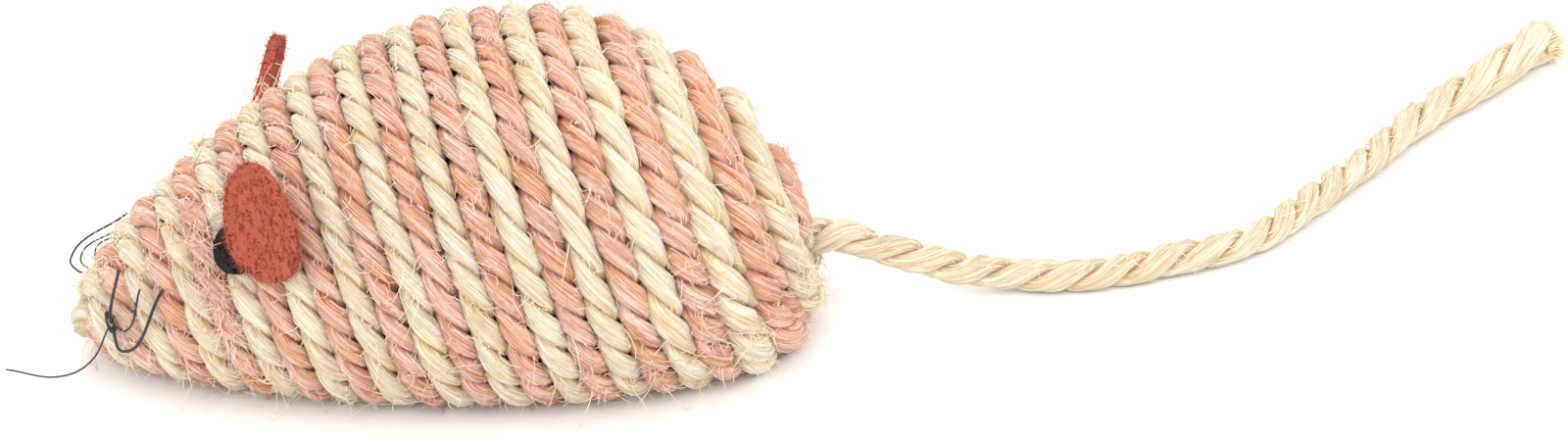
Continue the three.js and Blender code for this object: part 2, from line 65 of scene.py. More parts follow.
def buildCamera():
    az = radians(view["azimuth"])
    el = radians(view["elevation"])
    right = Vector((cos(az), sin(az), 0))
    back = Vector((sin(az) * cos(el), -cos(az) * cos(el), sin(el)))
    up = back.cross(right)
    aim = right * view["aimRight"] + up * view["aimUp"]
    camera = newObject("camera", bpy.data.cameras.new("camera"))
    turn = Matrix((right, up, back)).transposed().to_4x4()
    camera.matrix_world = Matrix.Translation(aim + back * view["distance"]) @ turn
    camera.data.sensor_fit = "HORIZONTAL"
    camera.data.sensor_width = view["sensorWidth"]
    camera.data.lens = view["sensorWidth"] * view["distance"] / view["frameWidth"]
    camera.data.clip_start, camera.data.clip_end = view["clip"]
    bpy.context.scene.camera = camera


buildCamera()
print("camera placed")


# What every piece uses

def colour(code):
    # sRGB hex to the linear values that a shader's socket takes
    parts = [int(code[i:i + 2], 16) / 255 for i in (0, 2, 4)]
    return tuple(p / 12.92 if p <= 0.04045 else ((p + 0.055) / 1.055) ** 2.4 for p in parts) + (1,)


def finishPiece(obj, material, body):
    obj.data.materials.clear()
    obj.data.materials.append(material)
    for face in obj.data.polygons:
        face.use_smooth = True
    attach(obj, body)


def waver(x, y, z):
    # smooth noise from about -1 to 1, the same each run
    return noise.noise(Vector((x, y, z)))


def anyWay(pick):
    return Vector((pick.gauss(0, 1), pick.gauss(0, 1), pick.gauss(0, 1)))


def meshFrom(bm, name):
    mesh = bpy.data.meshes.new(name)
    bm.to_mesh(mesh)
    bm.free()
    return mesh


def appliedMesh(obj):
    # the mesh that a curve or a piece with modifiers comes out as, in place of the object
    mesh = bpy.data.meshes.new_from_object(obj.evaluated_get(bpy.context.evaluated_depsgraph_get()))
    bpy.data.objects.remove(obj)
    return mesh


def curveMesh(name, lines, radius, thin=0.35, sides=0, curved=False):
    # several lines of points, as one mesh of round strands that get thinner to their ends
    curve = bpy.data.curves.new(name + "_line", "CURVE")
    curve.dimensions = "3D"
    curve.bevel_depth = radius
    curve.bevel_resolution = sides
    curve.use_fill_caps = True
    for line in lines:
        last = len(line) - 1
        if curved:
            spline = curve.splines.new("BEZIER")
            spline.bezier_points.add(last)
            for point, place in zip(spline.bezier_points, line):
                point.co = place
                point.handle_left_type = point.handle_right_type = "AUTO"
            spline.resolution_u = 12
        else:
            spline = curve.splines.new("POLY")
            spline.points.add(last)
            for i, (point, place) in enumerate(zip(spline.points, line)):
                point.co = (*place, 1)
                point.radius = 1 - (1 - thin) * i / last
    drawn = newObject(name + "_line", curve)
    bpy.context.view_layer.update()
    mesh = appliedMesh(drawn)
    mesh.name = name
    return newObject(name, mesh)


# Materials

def startMaterial(name):
    material = bpy.data.materials.new(name)
    material.use_nodes = True
    return material, material.node_tree, material.node_tree.nodes["Principled BSDF"]


def setInputs(tree, node, inputs):
    # each input takes a value, or a link from another node's output
    for name, value in inputs.items():
        if hasattr(value, "is_linked"):
            tree.links.new(value, node.inputs[name])
        else:
            node.inputs[name].default_value = value


def addNode(tree, kind, inputs, **settings):
    node = tree.nodes.new("ShaderNode" + kind)
    for name, value in settings.items():
        setattr(node, name, value)
    setInputs(tree, node, inputs)
    return node


def objectPlace(tree):
    return addNode(tree, "TexCoord", {}).outputs["Object"]


def noiseNode(tree, source, scale, detail=3, roughness=0.6, stretch=(1, 1, 1)):
    place = addNode(tree, "Mapping", {"Vector": source, "Scale": stretch}).outputs["Vector"]
    inputs = {"Vector": place, "Scale": scale, "Detail": detail, "Roughness": roughness}
    return addNode(tree, "TexNoise", inputs).outputs["Fac"]


def rampNode(tree, source, places, tones):
    # tones are hex codes, or colours as a shader's socket takes them
    ramp = addNode(tree, "ValToRGB", {"Fac": source})
    elements = ramp.color_ramp.elements
    while len(elements) < len(places):
        elements.new(0.5)
    for element, place, tone in zip(elements, places, tones):
        element.position = place
        element.color = colour(tone) if isinstance(tone, str) else tone
    return ramp.outputs["Color"]


def mixNode(tree, kind, amount, first, second):
    # inputs 6 and 7 are the two colours, whose names the other kinds of value share
    inputs = {"Factor": amount, 6: first, 7: second}
    return addNode(tree, "Mix", inputs, data_type="RGBA", blend_type=kind).outputs[2]


def mathNode(tree, operation, first, second):
    return addNode(tree, "Math", {0: first, 1: second}, operation=operation, use_clamp=True).outputs[0]


def bumpNode(tree, height, strength, distance):
    inputs = {"Strength": strength, "Distance": distance, "Height": height}
    return addNode(tree, "Bump", inputs).outputs["Normal"]


black, white = (0, 0, 0, 1), (1, 1, 1, 1)
# each kind's darkest tone is painted shade, laid in the furrows between the plies and on the flanks between
# turns
sisalColours = {
    "natural": {"pale": "faf0df", "middle": "f9eacf", "line": "e4bf7d", "shaded": "d29c50", "tint": "f7deb0"},
    "pink": {"pale": "fddfce", "middle": "f4ba9a", "line": "c46c48", "shaded": "8f401f", "tint": "eaa570"},
    "tail": {"pale": "fbf1d9", "middle": "f6e8cc", "line": "e6bd80", "shaded": "cf9040", "tint": "f1dab0"},
}
fibreColours = {
    "natural": {"pale": "f3e7cb", "middle": "e6d3a8", "line": "c9a664"},
    "pink": {"pale": "f6dccb", "middle": "e8bda2", "tint": "e2b08f"},
    "tail": {"pale": "f6e6c2", "middle": "efd6a4"},
}
sisalLook = {
    "fine": (4.6, 4.6, 0.12),  # stretch of the noise on a rope: across the fibres twice, and along them
    "coarse": (1.8, 1.8, 0.1),
    "seams": (2.6, 2.6, 0.08),
    "patches": (0.4, 0.4, 0.05),
    "fineScale": 900,  # the same on single fibres, which have no such direction
    "coarseScale": 300,
    "fineShare": 0.6, "coarseShare": 0.4, "tones": (0.38, 0.47, 0.57), "tints": (0.38, 0.6), "tint": 0.35,
    "seamEdges": (0.45, 0.49, 0.5, 0.54), "seam": 0.55, "seamDepth": 0.15, "paintedShade": 0.65, "relief": 0.0013,
    "shader": {"Roughness": 0.62, "Specular IOR Level": 0.22, "Subsurface Weight": 0.3,
               "Subsurface Radius": (1, 0.55, 0.3), "Subsurface Scale": 0.0012},
}


def sisalMaterial(name, tones, onRope=True):
    # fibres follow the rope through its "fibre" attribute; the other attribute is the mask of painted shade:
    # 1 in the furrow between the plies, and on wound ropes also on the flanks that face the neighbouring
    # turns
    material, tree, shader = startMaterial(name)
    look = sisalLook
    if onRope:
        along = addNode(tree, "Attribute", {}, attribute_name="fibre").outputs["Vector"]
        shadeMask = addNode(tree, "Attribute", {}, attribute_name="shadeMask").outputs["Fac"]
        fine = noiseNode(tree, along, 1, 3, 0.65, look["fine"])
        coarse = noiseNode(tree, along, 1, 2, 0.5, look["coarse"])
        seams = noiseNode(tree, along, 1, 2, 0.5, look["seams"])
        patches = noiseNode(tree, along, 1, 2, 0.5, look["patches"])
    else:
        place = objectPlace(tree)
        fine = noiseNode(tree, place, look["fineScale"], 2)
        coarse = noiseNode(tree, place, look["coarseScale"], 2)
        patches = coarse
    # on a rope the fibre tones follow the same noise as the relief: sunk fibres take the darker tones as
    # painted shade and raised ones the paler as painted highlight, besides the fibres' own unevenness
    fineHalf = mathNode(tree, "MULTIPLY", fine, look["fineShare"])
    coarseHalf = mathNode(tree, "MULTIPLY", coarse, look["coarseShare"])
    fibres = mathNode(tree, "ADD", fineHalf, coarseHalf)
    tone = rampNode(tree, fibres, look["tones"], (tones["line"], tones["middle"], tones["pale"]))
    shade = rampNode(tree, patches, look["tints"], (tones["tint"], tones["pale"]))
    tone = mixNode(tree, "MIX", look["tint"], tone, shade)
    if onRope:
        # painted shade: thin dark seams where one bundle of fibres lies on the next
        seam = rampNode(tree, seams, look["seamEdges"], (black, white, white, black))
        seamShade = mathNode(tree, "MULTIPLY", seam, look["seam"])
        tone = mixNode(tree, "MIX", seamShade, tone, colour(tones["line"]))
        # painted shade: the furrows, and the flanks in a neighbour's shade, take the darkest tone
        paintedShade = mathNode(tree, "MULTIPLY", shadeMask, look["paintedShade"])
        tone = mixNode(tree, "MIX", paintedShade, tone, colour(tones["shaded"]))
        sunk = mathNode(tree, "MULTIPLY", seam, look["seamDepth"])
        relief = bumpNode(tree, mathNode(tree, "SUBTRACT", fibres, sunk), 1, look["relief"])
        setInputs(tree, shader, {"Normal": relief})
    setInputs(tree, shader, {"Base Color": tone, **look["shader"]})
    return material


feltLook = {
    "fineScale": 2600, "wispScale": 1400, "wispStretch": (1, 1, 0.45), "cloudScale": 160,
    "tones": (0.41, 0.49, 0.58), "clouds": (0.3, 0.65), "cloudTone": (0.78, 0.74, 0.74, 1),
    "cloud": 0.6, "relief": 0.0006,
    "shader": {"Roughness": 1, "Specular IOR Level": 0.08},
}


def feltMaterial(name, pale, middle, dark):
    material, tree, shader = startMaterial(name)
    look = feltLook
    place = objectPlace(tree)
    fine = noiseNode(tree, place, look["fineScale"], 4, 0.7)
    wisps = noiseNode(tree, place, look["wispScale"], 4, 0.65, look["wispStretch"])
    cloud = noiseNode(tree, place, look["cloudScale"], 2)
    mixed = mathNode(tree, "MULTIPLY", mathNode(tree, "ADD", fine, wisps), 0.5)
    tone = rampNode(tree, mixed, look["tones"], (dark, middle, pale))
    shade = rampNode(tree, cloud, look["clouds"], (look["cloudTone"], white))
    tone = mixNode(tree, "MULTIPLY", look["cloud"], tone, shade)
    relief = bumpNode(tree, mixed, 1, look["relief"])
    setInputs(tree, shader, {"Base Color": tone, "Normal": relief, **look["shader"]})
    return material


plainLooks = {
    "hotGlue": {"cloud": (500, 2), "places": (0.35, 0.65), "tones": ("e9e3d3", "fbf8ef"),
                "grain": (900, 2), "relief": (0.25, 0.0004),
                "shader": {"Roughness": 0.16, "Transmission Weight": 0.75, "IOR": 1.48}},
    "blackThread": {"cloud": (3000, 3), "places": (0.35, 0.7), "tones": ("121212", "3a3838"),
                    "grain": (3000, 3), "relief": (0.5, 0.0002), "shader": {"Roughness": 0.6}},
    # painted shade: the core is dark brown so that the gaps between the turns look shaded
    "shadedCorePlastic": {"cloud": (400, 3), "places": (0.3, 0.7), "tones": ("6b5a4b", "7d6a58"),
                    "grain": (2500, 3), "relief": (0.3, 0.0003), "shader": {"Roughness": 0.55}},
}


def plainMaterial(name):
    # two tones in clouds, with a fine grain
    material, tree, shader = startMaterial(name)
    look = plainLooks[name]
    place = objectPlace(tree)
    tone = rampNode(tree, noiseNode(tree, place, *look["cloud"]), look["places"], look["tones"])
    relief = bumpNode(tree, noiseNode(tree, place, *look["grain"]), *look["relief"])
    setInputs(tree, shader, {"Base Color": tone, "Normal": relief, **look["shader"]})
    return material


leafLook = {
    "crumbScale": 700, "places": (0.1, 0.4, 0.7), "tones": ("8b9162", "66703c", "3b4122"),
    "relief": 0.0008, "shader": {"Roughness": 0.95},
}


def leafMaterial():
    material, tree, shader = startMaterial("catnipLeaf")
    inputs = {"Vector": objectPlace(tree), "Scale": leafLook["crumbScale"]}
    crumbs = addNode(tree, "TexVoronoi", inputs).outputs["Distance"]
    tone = rampNode(tree, crumbs, leafLook["places"], leafLook["tones"])
    relief = bumpNode(tree, crumbs, 1, leafLook["relief"])
    setInputs(tree, shader, {"Base Color": tone, "Normal": relief, **leafLook["shader"]})
    return material


naturalSisal = sisalMaterial("naturalSisal", sisalColours["natural"])
pinkSisal = sisalMaterial("pinkSisal", sisalColours["pink"])
tailSisal = sisalMaterial("tailSisal", sisalColours["tail"])
naturalStrand = sisalMaterial("naturalStrand", sisalColours["natural"], onRope=False)
pinkStrand = sisalMaterial("pinkStrand", sisalColours["pink"], onRope=False)
naturalFibre, pinkFibre, tailFibre = [
    sisalMaterial(kind + "Fibre", {**sisalColours[kind], **fibreColours[kind]}, onRope=False)
    for kind in ("natural", "pink", "tail")]
redFelt = feltMaterial("redFelt", "cf7d69", "ad5745", "7c3226")
# a paler copy of the ear felt for the wisps that stand off it: painted light on them
litFeltFuzz = feltMaterial("litFeltFuzz", "dc9684", "bd6656", "8f3f33")
blackFelt = feltMaterial("blackFelt", "57514b", "2e2a27", "141211")
hotGlue = plainMaterial("hotGlue")
blackThread = plainMaterial("blackThread")
shadedCorePlastic = plainMaterial("shadedCorePlastic")
catnipLeaf = leafMaterial()
print("materials made")


# The rope: two plies laid left-handed, swept along a line of middles

rope = {
    "sides": 36,
    "plyReach": {"natural": 0.45, "pink": 0.46, "tail": 0.465},  # a ply's middle off the rope's, in radii
    "plyWide": 0.83,  # ply's half width, in rope radii
    "bundles": 0.055,  # relief of the fibre bundles, in rope radii
    "bundleWaves": ((3, 110, 3), (6, 160, 5)),  # round the rope, along a metre of it, and from rope to rope
    "fibreTurn": 0.55,  # how much of the plies' turn the fibres keep
    "twist": (0.35, 60),  # unevenness of the twist, and how many waves of it a metre has
    "swell": (0.08, 150),  # of the thickness
    "wander": (0.14, 90),  # of the line, in rope radii
    "plump": (0.12, 130),  # of each ply's thickness
    "furrowSlope": 3.6,
    "flank": 0.5,  # height in rope radii below which a wound rope is in its neighbour's shade
    "endSteps": 5,  # over which a closed end is rounded
    "endTip": 0.02,  # square of the share of its radius that is left at the tip
    "fibreScale": (2, 1000, 31),  # of the attribute: round the rope, along a metre, from rope to rope
}
ropeSkins = {}


def plyOutline(angle, reach):
    # distance from the rope's middle to its skin: two flattened plies side by side
    high = 1 - reach
    wide = rope["plyWide"]
    c = cos(angle) / wide
    s = abs(sin(angle))
    a = c * c + (s / high) ** 2
    b = -2 * s * reach / high ** 2
    rest = (reach / high) ** 2 - 1
    return (-b + sqrt(max(b * b - 4 * a * rest, 0))) / (2 * a)


def ropeObject(name, kind, middles, outs, radii, lays, seed, floor=None, between=False, closed=True):
    sides = rope["sides"]
    count = len(middles)
    corners = [2 * pi * k / sides for k in range(sides)]
    shape = [plyOutline(corner, rope["plyReach"][kind]) for corner in corners]
    # painted shade in the furrow between the plies, strongest at its bottom
    shadeMask = [max(0, 1 - rope["furrowSlope"] * abs(sin(corner))) for corner in corners]
    twist, twistWaves = rope["twist"]
    swell, swellWaves = rope["swell"]
    wander, wanderWaves = rope["wander"]
    plump, plumpWaves = rope["plump"]
    roundScale, alongScale, seedScale = rope["fibreScale"]
    verts, faces, fibre, paintedShade, turns = [], [], [], [], []
    run = 0
    turned = seed
    for i, middle in enumerate(middles):
        before = middles[max(i - 1, 0)]
        after = middles[min(i + 1, count - 1)]
        if i:
            step = (middle - before).length
            run += step
            pace = 1 + twist * waver(run * twistWaves, seed, 3)
            turned -= 2 * pi * step / lays[i] * pace
        turns.append(turned)
        tangent = (after - before).normalized()
        out = outs[i] - tangent * outs[i].dot(tangent)
        out.normalize()
        across = tangent.cross(out)
        end = min(1, min(i, count - 1 - i) / rope["endSteps"]) if closed else 1
        radius = radii[i] * (1 + swell * waver(run * swellWaves, seed, 0))
        radius *= sqrt(max(rope["endTip"], 1 - (1 - end) ** 2))
        place = run * wanderWaves
        moved = Vector((waver(place, seed, 7), waver(place, seed, 9), 0)) * radius * wander
        for k, corner in enumerate(corners):
            angle = turned + corner
            ply = 1 if k < sides / 2 else -1
            reach = radius * shape[k] * (1 + plump * waver(run * plumpWaves, seed + ply, 5))
            lie = corner + (1 - rope["fibreTurn"]) * turned
            for around, along, apart in rope["bundleWaves"]:
                bundle = waver(cos(lie) * around, sin(lie) * around, run * along + seed * apart)
                reach *= 1 + rope["bundles"] * bundle
            point = middle + out * (cos(angle) * reach + moved.x) + across * (sin(angle) * reach + moved.y)
            if floor is not None and point.z < floor:
                point.z = floor
            verts.append(point)
            fibre += [cos(lie) * roundScale, sin(lie) * roundScale,
                      run * alongScale + seed * seedScale]
            shaded = shadeMask[k]
            if between:
                # painted shade on the flanks that face the neighbouring turns
                shaded = max(shaded, min(1, max(0, (rope["flank"] - cos(angle)) / rope["flank"])))
            paintedShade.append(shaded)
    for i in range(count - 1):
        for k in range(sides):
            a = i * sides + k
            b = i * sides + (k + 1) % sides
            faces.append((a, b, b + sides, a + sides))
    faces.append(tuple(range(sides - 1, -1, -1)))
    faces.append(tuple((count - 1) * sides + k for k in range(sides)))
    mesh = bpy.data.meshes.new(name)
    mesh.from_pydata(verts, [], faces)
    mesh.attributes.new("fibre", "FLOAT_VECTOR", "POINT").data.foreach_set("vector", fibre)
    mesh.attributes.new("shadeMask", "FLOAT", "POINT").data.foreach_set("value", paintedShade)
    mesh.validate()
    ropeSkins[name] = verts, turns
    return newObject(name, mesh)


strands = {
    "number": 1500,
    "radius": 0.0001,
    "start": (0.04, 0.5),  # where one comes up, in half turns round its ply
    "span": (0.35, 0.9),  # how far it goes round
    "latest": 0.97,
    "lift": (0.00001, 0.00009),  # above the skin, half way
    "sink": 0.00004,
    "endRoom": (6, 30),  # steps at the rope's ends that have none
}
fibreFloor = 0.0002


def surfaceStrands(name, ropeName, seed):
    # bundles of fibres on the plies' skin, which come up out of one furrow and dive into the next
    verts, turns = ropeSkins[ropeName]
    sides = rope["sides"]
    first, last = strands["endRoom"]
    pick = random.Random(seed)
    lines = []
    while len(lines) < strands["number"]:
        i = pick.randrange(first, len(turns) - last)
        start = place = pick.uniform(*strands["start"]) * pi
        end = min(pi * strands["latest"], place + pick.uniform(*strands["span"]) * pi)
        ply = pick.choice((0, sides // 2))
        lift = pick.uniform(*strands["lift"])
        line = []
        while place < end and i < len(turns) - first:
            k = place / (2 * pi) * sides
            low = int(k)
            a = verts[i * sides + (low + ply) % sides]
            b = verts[i * sides + (low + 1 + ply) % sides]
            quarters = (0, sides // 4, sides // 2, sides * 3 // 4)
            middle = sum((verts[i * sides + j] for j in quarters), Vector()) / 4
            point = a.lerp(b, k - low)
            ease = sin(pi * (place - start) / (end - start))
            point = point + (point - middle).normalized() * (lift * ease - strands["sink"])
            point.z = max(point.z, fibreFloor)
            line.append(point)
            place += (1 - rope["fibreTurn"]) * (turns[i] - turns[i + 1])
            i += 1
        if len(line) > 3:
            lines.append(line)
    return curveMesh(name, lines, strands["radius"], thin=0.5)


strays = {
    "radius": 0.000088,
    "root": 0.88,  # where it leaves the rope, in rope radii
    "clumped": 0.45,  # share of the fibres that stand in clumps, where there are any
    "clumpSteps": 4,
    "spread": 0.75,  # round the rope from its outer side, in radians
    "clumpSpread": (0.5, 0.3),  # of the clumps, and of the fibres in one
    "stands": (0.08, 0.15, 0.3, 0.7, 1.2),
    "slant": 0.45,
    "droop": 0.1,
    "waviness": 0.09,
    "steps": 6,
}


def looseFibres(name, route, number, seed, longest, shortest=0.16, curl=0.22, clumps=0):
    # stray fibres that leave the rope's skin, most of them close along it and some standing off
    middles, outs, radii = route
    clumpSpread, inClump = strays["clumpSpread"]
    near = strays["clumpSteps"]
    pick = random.Random(seed)
    centres = [(pick.randrange(2 * near, len(middles) - 2 * near), pick.gauss(0, clumpSpread))
               for _ in range(clumps)]
    lines = []
    for _ in range(number):
        i = pick.randrange(2, len(middles) - 2)
        aside = 0
        if centres and pick.random() < strays["clumped"]:
            i, aside = pick.choice(centres)
            i += pick.randrange(-near, near + 1)
        tangent = (middles[i + 1] - middles[i - 1]).normalized() * pick.choice((-1, 1))
        out = (outs[i] - tangent * outs[i].dot(tangent)).normalized()
        across = tangent.cross(out)
        angle = aside + pick.gauss(0, inClump if aside else strays["spread"])
        lift = out * cos(angle) + across * sin(angle)
        place = middles[i] + lift * radii[i] * strays["root"]
        place.z = max(place.z, fibreFloor)
        length = longest * (shortest + (1 - shortest) * pick.random() ** 3)
        stand = pick.choice(strays["stands"])
        heading = (tangent + lift * stand + across * pick.gauss(0, strays["slant"])).normalized()
        bend = anyWay(pick) * curl
        line = [place]
        for _ in range(strays["steps"]):
            place = place + heading * length / strays["steps"]
            place.z = max(place.z, fibreFloor)
            line.append(place)
            heading = heading + bend - lift * strays["droop"] + anyWay(pick) * strays["waviness"]
            heading.normalize()
        lines.append(line)
    return curveMesh(name, lines, strays["radius"])


# The tail: the free cord, with its route in millimetres from its root and the floor, as in the CAD

tail = {
    "root": (0.05467, -0.0020211, 0.0124742),
    "diameter": 0.0045,
    "route": [
        (0, 0, 12.4742), (4.5, 0, 12.1), (9, 0.3, 9.9), (13.5, 0.8, 7.9), (18, 1.3, 6.1), (22.5, 1.8, 4.3),
        (27.5, 2.2, 2.9), (33, 1.8, 2.35), (39, 1.5, 2.35), (46, 2.3, 2.35), (53, 4.1, 2.35),
        (60, 6.2, 2.35), (67, 10.4, 2.35), (73, 16.3, 2.35), (79, 22.6, 2.35), (85, 28.5, 2.35),
        (91, 35.2, 2.35), (98, 42.2, 2.35), (105, 48.1, 2.35), (112, 54.5, 2.35), (118, 59.3, 2.35)],
    "step": 0.0006, "lay": 0.0133, "endLay": 0.027,
    "looseLength": 0.036,  # the last stretch, which is loosening
    "looseSwell": 0.34, "floor": 0.00005, "hairs": 320, "hairLength": 0.007,
    "seed": 1.3, "hairSeed": 43,
}
fray = {
    "fibres": 560,  # in the tail's unravelled end
    "radius": 0.00013,
    "width": 0.85,  # in radii of the tail's end
    "length": 0.0034,
    "unequal": (0.6, 1.1),
    "strays": (0.94, 1.7),  # share of the fibres that aren't, and how much longer the others are
    "spread": (0.02, 0.35), "bend": 0.07, "sag": 0.03, "steps": 6, "seed": 41,
}
tailRoot = Vector(tail["root"])
upright = Vector((0, 0, 1))


def smoothLine(points, spacing, pieces=24):
    # centripetal line through the points, then evenly spaced
    dense = []
    ends = [points[0] * 2 - points[1]] + points + [points[-1] * 2 - points[-2]]
    for i in range(1, len(ends) - 2):
        p0, p1, p2, p3 = ends[i - 1:i + 3]
        t0 = 0
        t1 = t0 + (p1 - p0).length ** 0.5
        t2 = t1 + (p2 - p1).length ** 0.5
        t3 = t2 + (p3 - p2).length ** 0.5
        for k in range(pieces):
            t = t1 + (t2 - t1) * k / pieces
            a1 = p0 * ((t1 - t) / (t1 - t0)) + p1 * ((t - t0) / (t1 - t0))
            a2 = p1 * ((t2 - t) / (t2 - t1)) + p2 * ((t - t1) / (t2 - t1))
            a3 = p2 * ((t3 - t) / (t3 - t2)) + p3 * ((t - t2) / (t3 - t2))
            b1 = a1 * ((t2 - t) / (t2 - t0)) + a2 * ((t - t0) / (t2 - t0))
            b2 = a2 * ((t3 - t) / (t3 - t1)) + a3 * ((t - t1) / (t3 - t1))
            dense.append(b1 * ((t2 - t) / (t2 - t1)) + b2 * ((t - t1) / (t2 - t1)))
    dense.append(points[-1])
    line, need = [dense[0]], spacing
    for a, b in zip(dense, dense[1:]):
        step = (b - a).length
        while step >= need:
            a = a + (b - a) * (need / step)
            line.append(a)
            step = (b - a).length
            need = spacing
        need -= step
    return line


def upsAlong(line):
    ups = []
    up = upright
    for i in range(len(line)):
        tangent = (line[min(i + 1, len(line) - 1)] - line[max(i - 1, 0)]).normalized()
        up = (up - tangent * up.dot(tangent)).normalized()
        ups.append(up.copy())
    return ups


def frayedEnd(line, radius):
    pick = random.Random(fray["seed"])
    ahead = (line[-1] - line[-4]).normalized()
    side = ahead.cross(upright).normalized()
    equal, longer = fray["strays"]
    brush = []
    for _ in range(fray["fibres"]):
        angle = pick.uniform(0, 2 * pi)
        spread = sqrt(pick.uniform(0.01, 1))
        off = side * cos(angle) + upright * sin(angle)
        place = line[-3] + off * radius * fray["width"] * spread
        heading = (ahead + off * spread * pick.uniform(*fray["spread"])).normalized()
        reach = fray["length"] * pick.uniform(*fray["unequal"]) * (1 if pick.random() < equal else longer)
        bend = anyWay(pick) * fray["bend"]
        strand = [place]
        for _ in range(fray["steps"]):
            place = place + heading * reach / fray["steps"]
            place.z = max(place.z, fibreFloor)
            strand.append(place)
            heading = (heading + bend - upright * fray["sag"]).normalized()
        brush.append(strand)
    return curveMesh("tail_fray", brush, fray["radius"], thin=0.6)


def buildTail():
    route = [Vector((tailRoot.x + x / 1000, tailRoot.y + y / 1000, z / 1000)) for x, y, z in tail["route"]]
    line = smoothLine(route, tail["step"])
    last = len(line) - 1
    looseness = [max(0, 1 - (last - i) * tail["step"] / tail["looseLength"]) for i in range(len(line))]
    radii = [tail["diameter"] / 2 * (1 + tail["looseSwell"] * loose) for loose in looseness]
    lays = [tail["lay"] + (tail["endLay"] - tail["lay"]) * loose for loose in looseness]
    for place, radius in zip(line, radii):
        place.z = max(place.z, radius * 1.1)  # the thicker end lies on the floor, not in it
    ups = upsAlong(line)
    cord = ropeObject("tail_cord", "tail", line, ups, radii, lays, tail["seed"],
                      floor=tail["floor"], closed=False)
    finishPiece(cord, tailSisal, "free_tail")
    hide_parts("tail")
    frayed = frayedEnd(line, radii[-1])
    finishPiece(frayed, tailFibre, "free_tail")
    hairs = looseFibres("tail_hairs", (line, ups, radii), tail["hairs"], tail["hairSeed"],
                        tail["hairLength"])
    finishPiece(hairs, naturalFibre, "free_tail")


buildTail()
print("tail made")


# The mouse's form, as in the CAD, in metres

form = {
    "length": 0.0958, "halfHeight": 0.0288, "halfWidth": 0.0261, "noseHeight": 0.0054, "rumpDrop": 0.015204,
    "bellyRounding": 0.0105, "bellyLevel": 0.00144, "axisTilt": 13.2,
    "fullest": 0.62, "noseBlunt": 0.37, "foreSlope": 0.362, "rumpRound": 0.584, "rumpBlunt": 0.73,
    "cordRadius": 0.0018, "tailStart": 0.0021,
}
axisAlong = Vector((cos(radians(form["axisTilt"])), 0, sin(radians(form["axisTilt"]))))
axisUp = Vector((-axisAlong.z, 0, axisAlong.x))


def bezier(a, b, c, d, t):
    u = 1 - t
    return u ** 3 * a + 3 * u * u * t * b + 3 * u * t * t * c + t ** 3 * d


def outline(share):
    full = form["fullest"]
    if share < 0.5:
        t = share * 2
        return bezier(0, 0, full * (1 - form["foreSlope"]), full, t), bezier(0, form["noseBlunt"], 1, 1, t)
    t = share * 2 - 1
    return bezier(full, full + form["rumpRound"] * (1 - full), 1, 1, t), bezier(1, 1, form["rumpBlunt"], 0, t)


def rawPoint(share, angle):
    x, y = outline(share)
    above = y * form["halfHeight"] * sin(angle)
    rise = above - form["rumpDrop"] * x ** 4
    aside = -y * form["halfWidth"] * cos(angle)
    point = Vector((0, aside, form["noseHeight"])) + axisAlong * (x * form["length"]) + axisUp * rise
    depth = point.z - form["bellyLevel"]
    rounding = form["bellyRounding"]
    if depth <= -rounding:
        point.z = form["bellyLevel"]
    elif depth < rounding:
        point.z = form["bellyLevel"] + (depth + rounding) ** 2 / (4 * rounding)
    return point


shift = tailRoot - rawPoint(1, 0) - Vector((form["tailStart"], 0, 0))
print("form placed, moved by", [round(v * 1000, 3) for v in shift], "mm")


def formPoint(share, angle):
    return rawPoint(share, angle) + shift


def formNormal(share, angle):
    step = 0.001
    along = rawPoint(share + step, angle) - rawPoint(share - step, angle)
    around = rawPoint(share, angle + step) - rawPoint(share, angle - step)
    return along.cross(around).normalized()


def crestFrame(share, degrees, side, lift):
    # on the ropes' crests: origin, out, up round the ring, back towards the tail
    angle = pi - radians(degrees) if side > 0 else radians(degrees)
    out = formNormal(share, angle)
    up = rawPoint(share, angle - side * 0.001) - rawPoint(share, angle)
    up = (up - out * up.dot(out)).normalized()
    back = up.cross(out) * -side
    return formPoint(share, angle) + out * (form["cordRadius"] + lift), out, up, back


# The windings: two ropes side by side from the nose to the rump

winding = {
    "width": 0.0036 * cos(pi / 6),  # of the CAD's six-sided cord
    "gap": 0.00065, "endGap": 0.0011, "firstAngle": 205, "stepsPerTurn": 150,
    "samples": 200,  # along the form, where the room for the turns is measured
    "sampleAngles": 36,
    "lay": {"natural": 0.0122, "pink": 0.0101}, "thinnest": 0.0038, "thickest": 0.0052,
    "fullness": 1.1,  # rope thickness against the room it has
    "floor": 0.00004,
    "rise": 1.35,  # how far out a rope sits at the rump, against what it is thicker by
    "riseCurve": 2.5,
    "snoutTrim": 0.0014,  # how much slimmer than the CAD's the top of the snout is
    "snoutEnd": 0.26,
    "tuck": 0.0016,  # how deep the pink rope's first end lies under the natural one
    "tuckSteps": 40,
}
windingFibres = {
    "hairLength": 0.008, "clumps": 34, "fuzzLength": 0.0035,
    "tuftRings": (430, 466),  # where the pink rope is worn, in steps along the winding
    "tuftFibres": 260, "tuftLength": 0.006, "tuftSeed": 93,
}
lowerLayer = {
    "turns": 2.1,  # it shows between the wide turns at the rump
    "end": 0.02, "radius": 0.0021, "sink": 0.0007,
    "easing": 1.6,  # how much of the sink is gone at its end
}
noseEnd = {"radius": 0.0024, "lay": 0.009, "step": 0.0004, "steps": 13, "inside": 8, "seed": 6.3}
collar = {
    "radius": 0.0019, "lay": 0.009, "rise": 0.0003, "start": -60, "turn": 335,
    "opening": (1.02, 0.12),  # its distance from the tail, and how much that grows
    "steps": 60, "seed": 8.1,
}
